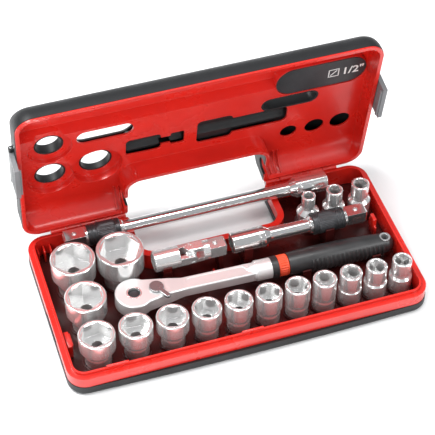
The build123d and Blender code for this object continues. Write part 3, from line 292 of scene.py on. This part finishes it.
# painted shade: the bed is the tray's red plastic, darkened to a deep red to paint the shade that falls into
# the tray
bedPaintedShadeLook = dict(
    blackLook,
    colour=(0.070, 0.006, 0.005),
    shade=(0.030, 0.005, 0.005),
    sheenAndWearColour=(0.16, 0.03, 0.025),
    paintedEdgeSheen=0.25,
    roughLow=0.24,
    roughHigh=0.38,
    grainStrength=0.12,
)
greyLook = dict(
    blackLook,
    colour=(0.20, 0.205, 0.215),
    shade=(0.16, 0.165, 0.17),
    sheenAndWearColour=(0.36, 0.36, 0.37),
    roughLow=0.34,
    roughHigh=0.46,
    grainStrength=0.2,
)
labelLook = dict(
    greyLook,
    colour=(0.040, 0.042, 0.045),
    shade=(0.022, 0.023, 0.025),
    sheenAndWearColour=(0.16, 0.16, 0.17),
    grainStrength=0.05,
    roughLow=0.28,
    roughHigh=0.36,
)
orangeLook = dict(
    redLook,
    colour=(0.78, 0.075, 0.022),
    shade=(0.66, 0.055, 0.016),
    sheenAndWearColour=(0.90, 0.30, 0.18),
    roughLow=0.38,
    roughHigh=0.5,
    coat=0.0,
)
printLook = dict(
    greyLook,
    colour=(0.86, 0.86, 0.84),
    shade=(0.78, 0.78, 0.76),
    sheenAndWearColour=(0.40, 0.40, 0.40),
    grainStrength=0.05,
    paintedEdgeSheen=0.1,
)
chromeLook = {
    "colour": (0.86, 0.86, 0.855),
    "shade": (0.80, 0.80, 0.795),
    "edgeHighlightColour": (0.93, 0.93, 0.925),
    "metallic": 0.76,
    "edgeRadius": 0.0005,
    "smearScale": 30.0,
    "hairStretch": (180.0, 1600.0, 1600.0),
    "roughLow": 0.17,
    "roughHigh": 0.22,
    "hairRough": 0.05,
    "hairBump": 0.012,
    "pitBump": 0.006,
}
barLook = dict(chromeLook, metallic=0.95, roughLow=0.12, roughHigh=0.17, hairRough=0.04)
brushedLook = dict(
    chromeLook,
    colour=(0.84, 0.84, 0.835),
    shade=(0.76, 0.76, 0.755),
    metallic=0.55,
    roughLow=0.30,
    roughHigh=0.38,
)
satinLook = dict(
    chromeLook,
    colour=(0.60, 0.605, 0.61),
    shade=(0.50, 0.505, 0.51),
    roughLow=0.22,
    roughHigh=0.32,
    hairBump=0.15,
)
darkSteelLook = dict(
    chromeLook,
    colour=(0.075, 0.077, 0.082),
    shade=(0.050, 0.051, 0.055),
    edgeHighlightColour=(0.24, 0.24, 0.25),
    metallic=0.7,
    roughLow=0.30,
    roughHigh=0.42,
    hairBump=0.1,
)
leverLook = dict(satinLook, colour=(0.34, 0.35, 0.36), shade=(0.27, 0.275, 0.28))
rubberLook = {
    "colour": (0.014, 0.014, 0.015),
    "dusty": (0.026, 0.026, 0.027),
    "sheenAndWear": (0.10, 0.10, 0.104),
    "roughLow": 0.30,
    "roughHigh": 0.42,
    "specular": 0.6,
}

finishes = {
    "red": mouldedPlastic("redPlastic", redLook),
    "black": mouldedPlastic("blackPlastic", blackLook),
    "bed": mouldedPlastic("bedPlasticPaintedShade", bedPaintedShadeLook),
    "grey": mouldedPlastic("greyPlastic", greyLook),
    "label": mouldedPlastic("labelFoil", labelLook),
    "orange": mouldedPlastic("orangePlastic", orangeLook),
    "print": mouldedPlastic("labelPrint", printLook),
    "chrome": polishedMetal("chromePlate", chromeLook),
    "bar": polishedMetal("barChrome", barLook),
    "brushed": polishedMetal("brushedSteel", brushedLook),
    "satin": polishedMetal("satinSteel", satinLook),
    "lever": polishedMetal("leverSteel", leverLook),
    "darkSteel": polishedMetal("darkSteel", darkSteelLook),
    "rubber": softRubber("gripRubber", rubberLook),
}
finishOf = {
    "base_shell": "black",
    "lid_cover": "black",
    "base_tray": "red",
    "lid_liner": "red",
    "socket_bed": "bed",
    "lid_label": "label",
    "latch_left": "grey",
    "latch_right": "grey",
    "ratchet_grip": "rubber",
    "ratchet_ring": "rubber",
    "ratchet_collar": "orange",
    "ratchet_lever": "lever",
    "ratchet_pawl": "satin",
    "hang_ring": "satin",
    "hinge_pins": "satin",
    "latch_pins": "satin",
    "long_sleeve": "darkSteel",
    "short_sleeve": "darkSteel",
    "long_extension": "bar",
    "short_extension": "bar",
    "ratchet_body": "brushed",
    "long_spring": "satin",
    "short_spring": "satin",
}
for nodeName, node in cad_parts.items():
    node.data.materials.clear()
    node.data.materials.append(finishes[finishOf.get(nodeName, "chrome")])
print("finishes on", len(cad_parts), "nodes")


# a new piece: its bmesh in millimetres, its body, the finish it takes
def addPiece(name, bm, finish, body, smooth=35.0):
    bmesh.ops.remove_doubles(bm, verts=bm.verts, dist=0.002)
    bmesh.ops.recalc_face_normals(bm, faces=bm.faces)
    bmesh.ops.scale(bm, vec=(mm, mm, mm), verts=bm.verts)
    mesh = bpy.data.meshes.new(name)
    bm.to_mesh(mesh)
    bm.free()
    if "custom_normal" in mesh.attributes:
        mesh.attributes.remove(mesh.attributes["custom_normal"])
    mesh.materials.append(finishes[finish])
    mesh.shade_smooth()
    mesh.set_sharp_from_angle(angle=radians(smooth))
    piece = bpy.data.objects.new(name, mesh)
    bpy.context.scene.collection.objects.link(piece)
    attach(piece, body)
    return piece


# a closed outline in the XY plane of the bmesh turned about the X axis through centre
def spinOutline(bm, outline, centre, steps, angle=2 * pi, start=0.0):
    verts = [bm.verts.new((centre[0] + x, centre[1], centre[2] + r)) for x, r in outline]
    edges = [bm.edges.new((a, b)) for a, b in zip(verts, verts[1:] + verts[:1])]
    if start:
        turn = Matrix.Rotation(start, 3, "X")
        bmesh.ops.rotate(bm, verts=verts, cent=centre, matrix=turn)
    full = abs(angle - 2 * pi) < 1e-6
    if not full:
        bm.faces.new(verts)
    bmesh.ops.spin(
        bm, geom=verts + edges + bm.faces[:], cent=centre, axis=(1, 0, 0),
        dvec=(0, 0, 0), angle=angle, steps=steps, use_merge=full,
    )


def addBlock(bm, low, high, roundOff, segments=2):
    size = [b - a for a, b in zip(low, high)]
    middle = [(a + b) / 2 for a, b in zip(low, high)]
    made = bmesh.ops.create_cube(bm, size=1.0)["verts"]
    bmesh.ops.scale(bm, vec=size, verts=made)
    bmesh.ops.translate(bm, vec=middle, verts=made)
    edges = {e for v in made for e in v.link_edges}
    bmesh.ops.bevel(
        bm, geom=list(edges), offset=roundOff, segments=segments,
        profile=0.5, affect="EDGES", material=-1,
    )
    return made


# ridges round the X axis: every other step of the spin is pulled in
def cutRidges(bm, centre, ridges, depth, xLow, xHigh, minRadius):
    for vert in bm.verts:
        x = vert.co.x - centre[0]
        if not xLow <= x <= xHigh:
            continue
        out = Vector((0, vert.co.y - centre[1], vert.co.z - centre[2]))
        if out.length < minRadius:
            continue
        turn = Vector((1, 0)).angle_signed(Vector((out.y, out.z)))
        wave = 0.5 + 0.5 * cos(turn * ridges)
        vert.co -= out.normalized() * depth * wave


# the lid's two front corners are domed to follow its rim, cover and lining alike
domeLook = {
    "halfLength": 166.5,
    "front": -87.0,
    "radius": 17.0,
    "spring": 24.8,
    "rise": 30.0,
    "frontRun": 44.0,
    "endTop": 40.8,
    "endRadius": 14.0,
    "cornerX": 125.0,
    "cornerY": -18.0,
    "edge": 3.2,
    "passes": 9,
    "smooth": 28.0,
}


def domePoint(point):
    radius = domeLook["radius"]
    up = min(max(point.z - domeLook["spring"], 0.0) / domeLook["rise"], 1.0)
    back = domeLook["frontRun"] * (1 - (1 - up * up) ** 0.5)
    over = min(max(point.z - domeLook["endTop"], 0.0), domeLook["endRadius"])
    inward = domeLook["endRadius"] - (domeLook["endRadius"] ** 2 - over * over) ** 0.5
    centre = Vector((domeLook["halfLength"] - inward - radius, -domeLook["front"] - back - radius))
    across = Vector((abs(point.x), -point.y)) - centre
    if across.x <= 0 or across.y <= 0:
        return point.copy()
    away = across.normalized()
    reach = radius / max(away.x, away.y)
    hit = away * reach
    arc = Vector((inward, back))
    if hit.x > arc.x and hit.y > arc.y and (hit - arc).length > radius:
        along = away.dot(arc)
        reach = along + (along * along - arc.dot(arc) + radius * radius) ** 0.5
    flat = centre + across * (radius / reach)
    return Vector((flat.x if point.x > 0 else -flat.x, -flat.y, point.z))


def nearCorner(edge):
    a, b = (v.co for v in edge.verts)
    wide = max(abs(a.x), abs(b.x)) > domeLook["cornerX"]
    return wide and min(a.y, b.y) < domeLook["cornerY"] and (a - b).length > domeLook["edge"]


swingShut = Matrix.Rotation(radians(caseLook["openAngle"]), 3, "X")
for nodeName, pieceName, finish, slotName in (
    ("lid_cover", "lidCoverDomed", "black", "black_plastic"),
    ("lid_liner", "lidLiningDomed", "red", "red_plastic"),
):
    bm = bmesh.new()
    bm.from_mesh(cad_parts[nodeName].data)
    bmesh.ops.scale(bm, vec=(1 / mm, 1 / mm, 1 / mm), verts=bm.verts)
    bmesh.ops.remove_doubles(bm, verts=bm.verts, dist=0.002)
    bmesh.ops.rotate(bm, verts=bm.verts, cent=caseLook["hinge"], matrix=swingShut)
    for step in range(domeLook["passes"]):
        longEdges = [edge for edge in bm.edges if nearCorner(edge)]
        if not longEdges:
            break
        bmesh.ops.subdivide_edges(bm, edges=longEdges, cuts=1, use_grid_fill=True)
        bmesh.ops.triangulate(bm, faces=[face for face in bm.faces if len(face.verts) > 3])
    for vert in bm.verts:
        vert.co = domePoint(vert.co)
    bmesh.ops.rotate(bm, verts=bm.verts, cent=caseLook["hinge"], matrix=swingShut.transposed())
    print(pieceName, len(bm.faces), "faces")
    domed = addPiece(pieceName, bm, finish, "lid", domeLook["smooth"])
    evenNormals = domed.modifiers.new("evenNormals", "WEIGHTED_NORMAL")
    evenNormals.keep_sharp = True
    evenNormals.weight = 100
    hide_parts(nodeName)
print("lid corners done")

# knurled locking sleeves; the long one faces the other way
sleeveLook = {
    "length": 31.0,
    "outer": 10.2,
    "inner": 8.27,
    "chamfer": 0.7,
    "grooves": (4.0, 22.5, 26.5),
    "grooveSteps": (0.3, 1.1, 1.4),
    "grooveDepth": 0.55,
    "bandStart": 1.6,
    "bandStep": 1.85,
    "bandCount": 9,
    "knurl": (5.5, 22.4),
    "ridges": 44,
    "depth": 0.32,
    "skin": 0.4,
    "steps": 176,
    "smooth": 30.0,
}


def sleeveOutline(look):
    outer, inner, length, chamfer = (look[key] for key in ("outer", "inner", "length", "chamfer"))
    down, along, up = look["grooveSteps"]
    floor = outer - look["grooveDepth"]
    outline = [(0.0, inner), (0.0, outer - chamfer), (chamfer, outer)]
    for groove in look["grooves"]:
        outline += [(groove, outer), (groove + down, floor), (groove + along, floor), (groove + up, outer)]
        if groove == look["grooves"][0]:
            start = groove + look["bandStart"]
            outline += [(start + step * look["bandStep"], outer) for step in range(look["bandCount"])]
    return outline + [(length - chamfer, outer), (length, outer - chamfer), (length, inner)]


for kind, turned in (("long", True), ("short", False)):
    low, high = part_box(f"{kind}_sleeve")
    centre = ((low.x / mm), (low.y + high.y) / 2 / mm, (low.z + high.z) / 2 / mm)
    bm = bmesh.new()
    spinOutline(bm, sleeveOutline(sleeveLook), centre, sleeveLook["steps"])
    skin = sleeveLook["outer"] - sleeveLook["skin"]
    cutRidges(bm, centre, sleeveLook["ridges"], sleeveLook["depth"], *sleeveLook["knurl"], skin)
    if turned:
        middle = (centre[0] + sleeveLook["length"] / 2, centre[1], centre[2])
        bmesh.ops.rotate(bm, verts=bm.verts, cent=middle, matrix=Matrix.Rotation(pi, 3, "Z"))
    sleeve = addPiece(
        f"{kind}SleeveKnurled", bm, "darkSteel", f"{kind}_sleeve", sleeveLook["smooth"]
    )
    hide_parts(f"{kind}_sleeve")
print("knurled sleeves done")

# the ratchet lies with its handle sloping down, so its extras are made level and then tipped
ratchetLook = {"head": (-89.3, -13.0, 24.2), "tilt": 2.0}


def tipWithRatchet(bm):
    tip = Matrix.Rotation(radians(ratchetLook["tilt"]), 3, "Y")
    bmesh.ops.rotate(bm, verts=bm.verts, cent=ratchetLook["head"], matrix=tip)


collarLook = {
    "outer": 10.0,
    "inner": 5.12,
    "start": 134.4,
    "length": 9.8,
    "chamfer": 0.6,
    "plain": (1.4, 1.6),
    "ridges": 26,
    "depth": 0.7,
    "skin": 0.3,
    "steps": 182,
    "smooth": 30.0,
}
headX, headY, headZ = ratchetLook["head"]
collarCentre = (headX + collarLook["start"], headY, headZ)
collarLength = collarLook["length"]
outer, inner, chamfer = collarLook["outer"], collarLook["inner"], collarLook["chamfer"]
plainEnd, ribStart = collarLook["plain"]
outline = [
    (0.0, inner), (0.0, outer - chamfer), (chamfer, outer), (plainEnd, outer), (ribStart, outer),
    (collarLength / 2, outer), (collarLength - ribStart, outer), (collarLength - plainEnd, outer),
    (collarLength - chamfer, outer), (collarLength, outer - chamfer), (collarLength, inner),
]
ribEdge = (plainEnd + ribStart) / 2
bm = bmesh.new()
spinOutline(bm, outline, collarCentre, collarLook["steps"])
cutRidges(
    bm, collarCentre, collarLook["ridges"], collarLook["depth"],
    ribEdge, collarLength - ribEdge, outer - collarLook["skin"],
)
tipWithRatchet(bm)
collar = addPiece("collarRibbed", bm, "orange", "ratchet", collarLook["smooth"])
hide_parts("ratchet_collar")
print("ribbed collar done")

# dark button in the middle of the drive gear
buttonLook = {"radius": 5.25, "low": -0.2, "high": 4.6, "edge": 1.4, "segments": 48, "edgeSteps": 5}
bm = bmesh.new()
made = bmesh.ops.create_cone(
    bm, cap_ends=True, segments=buttonLook["segments"], radius1=buttonLook["radius"],
    radius2=buttonLook["radius"], depth=buttonLook["high"] - buttonLook["low"],
)["verts"]
bmesh.ops.translate(bm, vec=(headX, headY, headZ + (buttonLook["low"] + buttonLook["high"]) / 2), verts=made)
buttonMiddle = headZ + (buttonLook["low"] + buttonLook["high"]) / 2
rim = [e for e in bm.edges if all(v.co.z > buttonMiddle for v in e.verts)]
bmesh.ops.bevel(
    bm, geom=rim, offset=buttonLook["edge"], segments=buttonLook["edgeSteps"],
    profile=0.5, affect="EDGES", material=-1,
)
tipWithRatchet(bm)
addPiece("driveButton", bm, "darkSteel", "ratchet_drive", 40.0)
print("drive button done")

# finger ribs round the lower side of the grip
ribLook = {
    "count": 17,
    "first": 77.5,
    "pitch": 4.3,
    "width": 2.8,
    "rise": 0.75,
    "sink": 0.6,
    "sweep": 130.0,
    "facing": 110.0,
    "steps": 40,
    "arcSteps": 8,
    "reach": 4.5,
    "smooth": 40.0,
}
levelOut = Matrix.Rotation(-radians(ratchetLook["tilt"]), 3, "Y")
headPoint = Vector(ratchetLook["head"])
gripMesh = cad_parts["ratchet_grip"].data
gripPoints = [levelOut @ (v.co / mm - headPoint) + headPoint for v in gripMesh.vertices]


def gripRadius(x):
    near = [p for p in gripPoints if abs(p.x - x) < ribLook["reach"]]
    return max(Vector((p.y - headY, p.z - headZ)).length for p in near)


bm = bmesh.new()
for index in range(ribLook["count"]):
    x = ribLook["first"] + index * ribLook["pitch"]
    radius = gripRadius(x)
    half = ribLook["width"] / 2
    turns = [pi * step / ribLook["arcSteps"] for step in range(ribLook["arcSteps"] + 1)]
    arc = [(half * cos(turn), radius + ribLook["rise"] * sin(turn)) for turn in turns]
    outline = arc + [(-half, radius - ribLook["sink"]), (half, radius - ribLook["sink"])]
    rib = bmesh.new()
    sweep = radians(ribLook["sweep"])
    start = radians(ribLook["facing"]) - sweep / 2
    spinOutline(rib, outline, (x, headY, headZ), ribLook["steps"], sweep, start)
    ribMesh = bpy.data.meshes.new("ribPart")
    rib.to_mesh(ribMesh)
    rib.free()
    bm.from_mesh(ribMesh)
    bpy.data.meshes.remove(ribMesh)
tipWithRatchet(bm)
addPiece("gripRibs", bm, "rubber", "ratchet", ribLook["smooth"])
print("grip ribs done")

# small red mouldings on the tray: lip tabs, a clip, a post and corner ribs
trayLook = {
    "tabs": ((-133.0, -113.0), (-11.0, 9.0)),
    "tabDepth": (-81.9, -80.5),
    "tabSink": 4.0,
    "tabRise": 2.6,
    "clip": ((-158.6, -46.0), (-154.0, -28.0), 19.0),
    "clipNose": (2.0, 1.0, 3.0, 0.6),
    "post": ((148.2, 9.5), (151.8, 18.5), 24.0),
    "postFoot": (0.9, 3.0, 8.0),
    "cornerRibs": (-157.0, -151.0, -145.0),
    "cornerRib": (0.8, 70.5, 80.0, 16.5),
    "bedFins": ((-8.0, 6.0), (50.5, 29.5), (92.0, 5.0)),
    "bedFin": (0.9, 4.0, 10.0),
    "gap": 0.1,
    "round": {"tab": 0.5, "clip": 0.8, "nose": 0.6, "post": 0.7, "foot": 0.5, "rib": 0.4, "fin": 0.5},
    "smooth": 35.0,
}
rounding = trayLook["round"]
ground = caseLook["bedTop"] + trayLook["gap"]
bm = bmesh.new()
tabFront, tabBack = trayLook["tabDepth"]
tabLow, tabHigh = caseLook["lipTop"] - trayLook["tabSink"], caseLook["lipTop"] + trayLook["tabRise"]
for left, right in trayLook["tabs"]:
    addBlock(bm, (left, tabFront, tabLow), (right, tabBack, tabHigh), rounding["tab"])
(x0, y0), (x1, y1), top = trayLook["clip"]
inset, overhang, noseDepth, noseDrop = trayLook["clipNose"]
addBlock(bm, (x0, y0, ground), (x1, y1, top), rounding["clip"])
addBlock(
    bm, (x0, y0 + inset, top - noseDepth), (x1 + overhang, y1 - inset, top - noseDrop), rounding["nose"]
)
(x0, y0), (x1, y1), top = trayLook["post"]
narrow, spread, shorter = trayLook["postFoot"]
addBlock(bm, (x0, y0, ground), (x1, y1, top), rounding["post"])
addBlock(
    bm, (x0 + narrow, y0 - spread, ground), (x1 - narrow, y1 + spread, top - shorter), rounding["foot"]
)
half, near, far, top = trayLook["cornerRib"]
for x in trayLook["cornerRibs"]:
    addBlock(bm, (x - half, near, ground), (x + half, far, top), rounding["rib"])
half, reach, top = trayLook["bedFin"]
for x, y in trayLook["bedFins"]:
    addBlock(bm, (x - half, y - reach, ground), (x + half, y + reach, top), rounding["fin"])
addPiece("trayMouldings", bm, "red", "case", trayLook["smooth"])
print("tray mouldings done")

# print on the label: the drive square sign and the size
labelLook = {
    "centre": (119.0, -34.5),
    "face": 41.6,
    "rise": 0.12,
    "sign": (11.6, 0.2, 9.4),
    "signLine": 1.0,
    "text": '1/2"',
    "textStart": 19.4,
    "textHeight": 13.0,
    "textDrop": 4.4,
    "textBold": 0.25,
    "textSteps": 6,
    "slash": 0.55,
    "sink": 0.05,
    "smooth": 30.0,
}


# label plane of the shut lid, then turned with it to the open stop
def layOnLabel(bm):
    cx, cy = labelLook["centre"]
    place = Matrix(((1, 0, 0, cx), (0, -1, 0, cy), (0, 0, -1, labelLook["face"]), (0, 0, 0, 1)))
    bmesh.ops.transform(bm, matrix=place, verts=bm.verts)
    swing = Matrix.Rotation(-radians(caseLook["openAngle"]), 3, "X")
    bmesh.ops.rotate(bm, verts=bm.verts, cent=caseLook["hinge"], matrix=swing)


def addStroke(bm, start, end, width, rise):
    a, b = Vector(start), Vector(end)
    made = bmesh.ops.create_cube(bm, size=1.0)["verts"]
    bmesh.ops.scale(bm, vec=((b - a).length + width, width, rise + labelLook["sink"]), verts=made)
    turn = (b - a).to_2d().angle_signed(Vector((1, 0)))
    bmesh.ops.rotate(bm, verts=made, matrix=Matrix.Rotation(turn, 3, "Z"))
    middle = ((a + b) / 2).to_3d() + Vector((0, 0, (rise - labelLook["sink"]) / 2))
    bmesh.ops.translate(bm, vec=middle, verts=made)


bm = bmesh.new()
sx, sy, size = labelLook["sign"]
half = size / 2
corners = [(sx - half, sy - half), (sx + half, sy - half), (sx + half, sy + half), (sx - half, sy + half)]
for start, end in zip(corners, corners[1:] + corners[:1]):
    addStroke(bm, start, end, labelLook["signLine"], labelLook["rise"])
slash = half * labelLook["slash"]
addStroke(bm, (sx - slash, sy - slash), (sx + slash, sy + slash), labelLook["signLine"], labelLook["rise"])
letters = bpy.data.curves.new("sizeText", "FONT")
letters.body = labelLook["text"]
letters.size = labelLook["textHeight"]
letters.extrude = labelLook["rise"] / 2
letters.offset = labelLook["textBold"]
letters.resolution_u = labelLook["textSteps"]
lettersObject = bpy.data.objects.new("sizeText", letters)
lettersMesh = bpy.data.meshes.new_from_object(lettersObject)
bpy.data.objects.remove(lettersObject)
text = bmesh.new()
text.from_mesh(lettersMesh)
textPlace = (labelLook["textStart"], -labelLook["textDrop"], labelLook["rise"] / 2)
bmesh.ops.translate(text, vec=textPlace, verts=text.verts)
text.to_mesh(lettersMesh)
text.free()
bm.from_mesh(lettersMesh)
layOnLabel(bm)
addPiece("labelPrint", bm, "print", "lid", labelLook["smooth"])
print("label print done")

# floor and light
floorLook = {
    "size": 12.0,
    "colour": (0.90, 0.90, 0.90),
    "shade": (0.86, 0.86, 0.865),
    "cloud": (3.0, 2.0),
    "rough": 0.9,
    "specular": 0.1,
}
bm = bmesh.new()
bmesh.ops.create_grid(bm, x_segments=1, y_segments=1, size=floorLook["size"] / 2)
floorMesh = bpy.data.meshes.new("paleFloor")
bm.to_mesh(floorMesh)
bm.free()
floor = bpy.data.objects.new("paleFloor", floorMesh)
bpy.context.scene.collection.objects.link(floor)
floorMaterial, tree, shader, coords = startMaterial("palePaper")
cloud = addRange(tree, addNoise(tree, coords, *floorLook["cloud"]), 0.0, 1.0)
paper = addMix(tree, cloud, floorLook["colour"], floorLook["shade"])
tree.links.new(paper, shader.inputs["Base Color"])
shader.inputs["Roughness"].default_value = floorLook["rough"]
shader.inputs["Specular IOR Level"].default_value = floorLook["specular"]
floorMesh.materials.append(floorMaterial)

worldLook = {"colour": (0.95, 0.97, 1.0, 1.0), "strength": 0.42}
world = bpy.data.worlds.new("studioWorld")
world.use_nodes = True
background = world.node_tree.nodes["Background"]
background.inputs["Color"].default_value = worldLook["colour"]
background.inputs["Strength"].default_value = worldLook["strength"]
bpy.context.scene.world = world

lamps = {
    "keyLamp": {"place": (-0.8, 0.5, 1.5), "size": (0.9, 0.5), "power": 30.0},
    "fillLamp": {"place": (1.2, -1.0, 1.2), "size": (0.8, 0.8), "power": 12.0},
    "frontLamp": {"place": (-0.9, -1.3, 0.9), "size": (0.9, 0.5), "power": 14.0},
    "topLamp": {"place": (0.1, -0.1, 1.8), "size": (0.7, 0.7), "power": 16.0},
}
aim = Vector((0.0, 0.02, 0.05))
for lampName, look in lamps.items():
    data = bpy.data.lights.new(lampName, "AREA")
    data.shape = "RECTANGLE"
    data.size, data.size_y = look["size"]
    data.energy = look["power"]
    lamp = bpy.data.objects.new(lampName, data)
    bpy.context.scene.collection.objects.link(lamp)
    lamp.location = look["place"]
    lamp.rotation_euler = (Vector(look["place"]) - aim).to_track_quat("Z", "Y").to_euler()
bpy.context.scene.view_settings.view_transform = "Standard"
print("floor and lights done")
